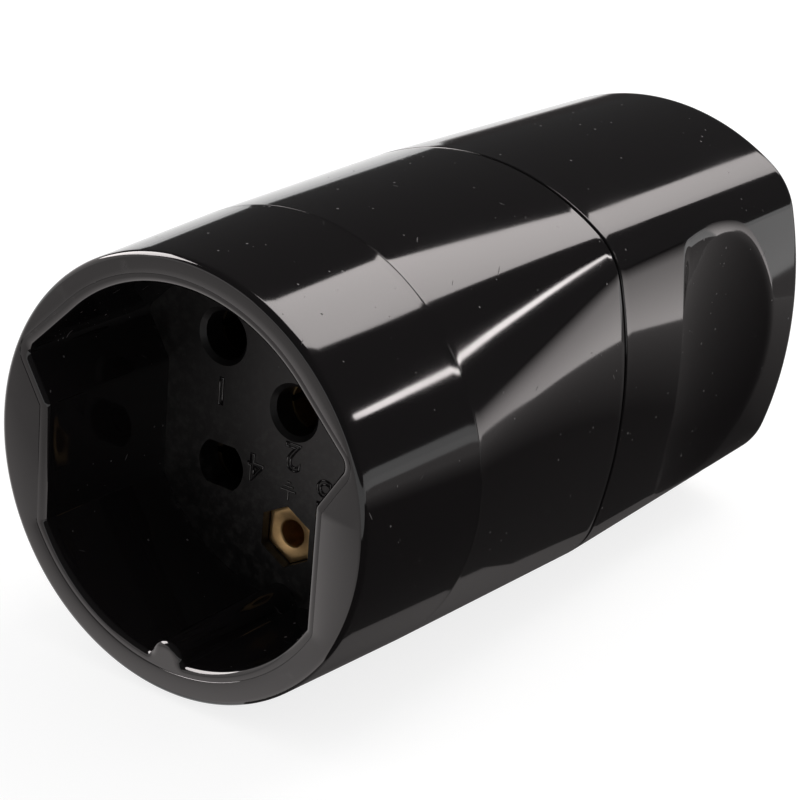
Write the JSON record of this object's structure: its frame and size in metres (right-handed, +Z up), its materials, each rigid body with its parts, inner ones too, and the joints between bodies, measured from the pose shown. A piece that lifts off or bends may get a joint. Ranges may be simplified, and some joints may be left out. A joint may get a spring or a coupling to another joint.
{
  "type": "inline socket connector",
  "caption": "Inline cord socket with a polarised round recess, plain and flatted pin holes, a hexagonal earth contact, a tapered grip with finger scoops and a rear cord entry.",
  "frame": {"origin": "on the table under the connector's axis, midway between the front rim and the rear face", "axes": "+Y along the connector's axis towards the cord entry, +Z up with the guide key at the bottom, +X to the right seen from the front"},
  "size_m": [0.0468, 0.0878, 0.0467],
  "materials": {
    "shell": "moulded gloss",
    "carrier": "moulded satin",
    "contact": "turned",
    "steel": "zinc plated"
  },
  "bodies": {
    "root": {"front_collar": "shell", "contact_carrier": "carrier", "contact_retainer": "carrier", "middle_shell": "shell", "rear_grip": "shell", "clamp_bar": "carrier", "earth_contact": "contact", "contact_upper_left": "contact", "contact_upper_right": "contact", "contact_centre": "contact", "contact_lower_left": "contact", "contact_lower_right": "contact", "insert_upper": "contact", "insert_lower_left": "contact", "insert_lower_right": "contact", "spring_upper_left": "steel", "spring_upper_right": "steel", "spring_centre": "steel", "spring_lower_left": "steel", "spring_lower_right": "steel", "terminal_screw_upper_left": "steel", "terminal_screw_upper_right": "steel", "terminal_screw_centre": "steel", "terminal_screw_lower_left": "steel", "terminal_screw_lower_right": "steel", "terminal_screw_earth": "steel", "clamp_screw_left": "steel", "clamp_screw_right": "steel", "carrier_screw_left": "steel", "carrier_screw_right": "steel", "retainer_screw_upper": "steel", "retainer_screw_lower": "steel", "housing_screw_upper": "steel", "housing_screw_lower_left": "steel", "housing_screw_lower_right": "steel"}
  },
  "joints": []
}
